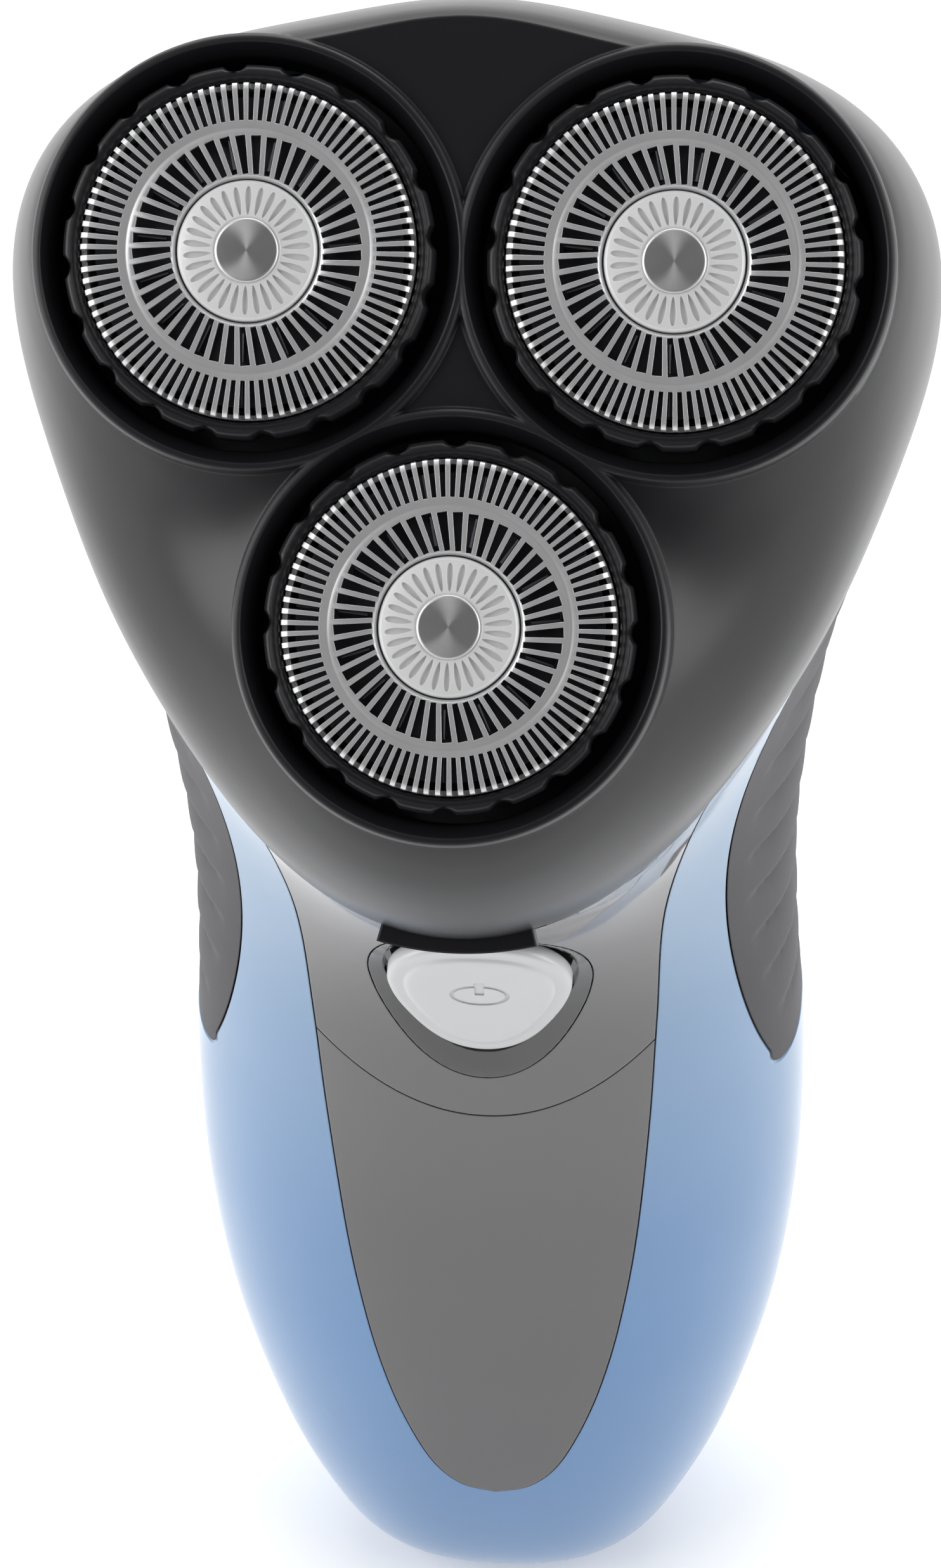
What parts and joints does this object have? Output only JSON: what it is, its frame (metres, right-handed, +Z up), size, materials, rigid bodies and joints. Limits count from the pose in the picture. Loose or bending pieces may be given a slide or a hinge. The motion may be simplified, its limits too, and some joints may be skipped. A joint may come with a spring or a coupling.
{
  "type": "rotary electric shaver",
  "caption": "Upright rotary shaver with a forward-leaning head unit, floating round metal shaving heads, ribbed side grips and a front power button.",
  "frame": {"origin": "centre of the flat base", "axes": "+Z up the handle, -Y out of the front where the power button is, +X to the right of the front view"},
  "size_m": [0.0664, 0.06, 0.1586],
  "materials": {
    "pearl_blue": "pearl metallic lacquer, semi gloss",
    "panel_gloss": "gloss",
    "grip_rubber": "matte",
    "bezel_gloss": "gloss",
    "inner_plastic": "matte",
    "black_plastic": "matte",
    "motor_steel": "brushed",
    "white_plastic": "matte",
    "cell_wrap": "gloss",
    "contact_brass": "satin",
    "board_green": "solder mask",
    "pin_metal": "polished",
    "button_silver": "satin silver",
    "head_black": "satin",
    "rotor_copper": "wound copper",
    "gear_nylon": "matte",
    "frame_grey": "matte",
    "guard_steel": "polished steel",
    "cutter_steel": "ground steel"
  },
  "bodies": {
    "body": {"front_shell": "pearl_blue", "back_shell": "pearl_blue", "upper_panel": "panel_gloss", "lower_panel": "panel_gloss", "grip_left": "grip_rubber", "grip_right": "grip_rubber", "button_bezel": "bezel_gloss", "chassis": "inner_plastic", "body_deck": "black_plastic", "gearbox_base": "inner_plastic", "motor_case": "motor_steel", "motor_cap": "white_plastic", "battery_cell": "cell_wrap", "battery_contacts": "contact_brass", "circuit_board": "board_green", "tact_switch": "black_plastic", "charge_socket": "black_plastic", "socket_pins": "pin_metal", "shell_screws": "pin_metal", "hinge_bracket": "black_plastic", "hinge_pin": "pin_metal", "deck_seal": "grip_rubber"},
    "button": {"power_button": "button_silver"},
    "motor": {"motor_rotor": "rotor_copper", "drive_pinion": "gear_nylon"},
    "head": {"head_cover": "head_black", "head_hinge": "black_plastic", "retaining_frame": "frame_grey", "lock_knob": "frame_grey"},
    "latch": {"head_latch": "head_black"},
    "gear_1": {"drive_gear_1": "gear_nylon", "drive_spindle_1": "pin_metal"},
    "float_1": {"carrier_1": "black_plastic"},
    "tilt_1": {"holder_1": "head_black", "guard_1": "guard_steel", "guard_cap_1": "guard_steel"},
    "cut_1": {"cutter_1": "cutter_steel"},
    "gear_2": {"drive_gear_2": "gear_nylon", "drive_spindle_2": "pin_metal"},
    "float_2": {"carrier_2": "black_plastic"},
    "tilt_2": {"holder_2": "head_black", "guard_2": "guard_steel", "guard_cap_2": "guard_steel"},
    "cut_2": {"cutter_2": "cutter_steel"},
    "gear_3": {"drive_gear_3": "gear_nylon", "drive_spindle_3": "pin_metal"},
    "float_3": {"carrier_3": "black_plastic"},
    "tilt_3": {"holder_3": "head_black", "guard_3": "guard_steel", "guard_cap_3": "guard_steel"},
    "cut_3": {"cutter_3": "cutter_steel"}
  },
  "joints": [
    {"name": "button_press", "type": "slide", "parent": "body", "child": "button", "axis": [0, 0.9833, 0.1822], "range_m": [0, 0.0008], "stiffness_N_per_m": 600, "springref_m": -0.0005},
    {"name": "motor_spin", "type": "hinge", "parent": "body", "child": "motor", "pos_m": [0, 0.00696, 0.12106], "axis": [0, -0.682, 0.7314], "continuous": true},
    {"name": "head_flip", "type": "hinge", "parent": "body", "child": "head", "pos_m": [0, 0.01996, 0.14494], "axis": [-1, 0, 0], "range_deg": [0, 90]},
    {"name": "latch_press", "type": "slide", "parent": "head", "child": "latch", "axis": [0, 0.7314, 0.682], "range_m": [0, 0.0009], "stiffness_N_per_m": 500, "springref_m": -0.0005},
    {"name": "gear_spin_1", "type": "hinge", "parent": "body", "child": "gear_1", "pos_m": [0, -0.00942, 0.11399], "axis": [0, -0.682, 0.7314], "continuous": true},
    {"name": "head_float_1", "type": "slide", "parent": "head", "child": "float_1", "axis": [0, 0.682, -0.7314], "range_m": [0, 0.0015], "stiffness_N_per_m": 400, "springref_m": -0.0012},
    {"name": "head_tilt_1", "type": "hinge", "parent": "float_1", "child": "tilt_1", "pos_m": [0, -0.02156, 0.12701], "axis": [1, 0, 0], "range_deg": [-3, 3], "stiffness_Nm_per_rad": 0.03},
    {"name": "cutter_spin_1", "type": "hinge", "parent": "tilt_1", "child": "cut_1", "pos_m": [0, -0.02156, 0.12701], "axis": [0, -0.682, 0.7314], "continuous": true},
    {"name": "gear_spin_2", "type": "hinge", "parent": "body", "child": "gear_2", "pos_m": [0.01455, 0.00901, 0.13118], "axis": [0, -0.682, 0.7314], "continuous": true},
    {"name": "head_float_2", "type": "slide", "parent": "head", "child": "float_2", "axis": [0, 0.682, -0.7314], "range_m": [0, 0.0015], "stiffness_N_per_m": 400, "springref_m": -0.0012},
    {"name": "head_tilt_2", "type": "hinge", "parent": "float_2", "child": "tilt_2", "pos_m": [0.01455, -0.00313, 0.14419], "axis": [-0.5, 0.6334, 0.5906], "range_deg": [-3, 3], "stiffness_Nm_per_rad": 0.03},
    {"name": "cutter_spin_2", "type": "hinge", "parent": "tilt_2", "child": "cut_2", "pos_m": [0.01455, -0.00313, 0.14419], "axis": [0, -0.682, 0.7314], "continuous": true},
    {"name": "gear_spin_3", "type": "hinge", "parent": "body", "child": "gear_3", "pos_m": [-0.01455, 0.00901, 0.13118], "axis": [0, -0.682, 0.7314], "continuous": true},
    {"name": "head_float_3", "type": "slide", "parent": "head", "child": "float_3", "axis": [0, 0.682, -0.7314], "range_m": [0, 0.0015], "stiffness_N_per_m": 400, "springref_m": -0.0012},
    {"name": "head_tilt_3", "type": "hinge", "parent": "float_3", "child": "tilt_3", "pos_m": [-0.01455, -0.00313, 0.14419], "axis": [-0.5, -0.6334, -0.5906], "range_deg": [-3, 3], "stiffness_Nm_per_rad": 0.03},
    {"name": "cutter_spin_3", "type": "hinge", "parent": "tilt_3", "child": "cut_3", "pos_m": [-0.01455, -0.00313, 0.14419], "axis": [0, -0.682, 0.7314], "continuous": true}
  ],
  "couplings": [
    {"joint": "gear_spin_1", "follows": "motor_spin", "ratio": -0.55556},
    {"joint": "cutter_spin_1", "follows": "motor_spin", "ratio": -0.55556},
    {"joint": "gear_spin_2", "follows": "motor_spin", "ratio": -0.55556},
    {"joint": "cutter_spin_2", "follows": "motor_spin", "ratio": -0.55556},
    {"joint": "gear_spin_3", "follows": "motor_spin", "ratio": -0.55556},
    {"joint": "cutter_spin_3", "follows": "motor_spin", "ratio": -0.55556}
  ]
}
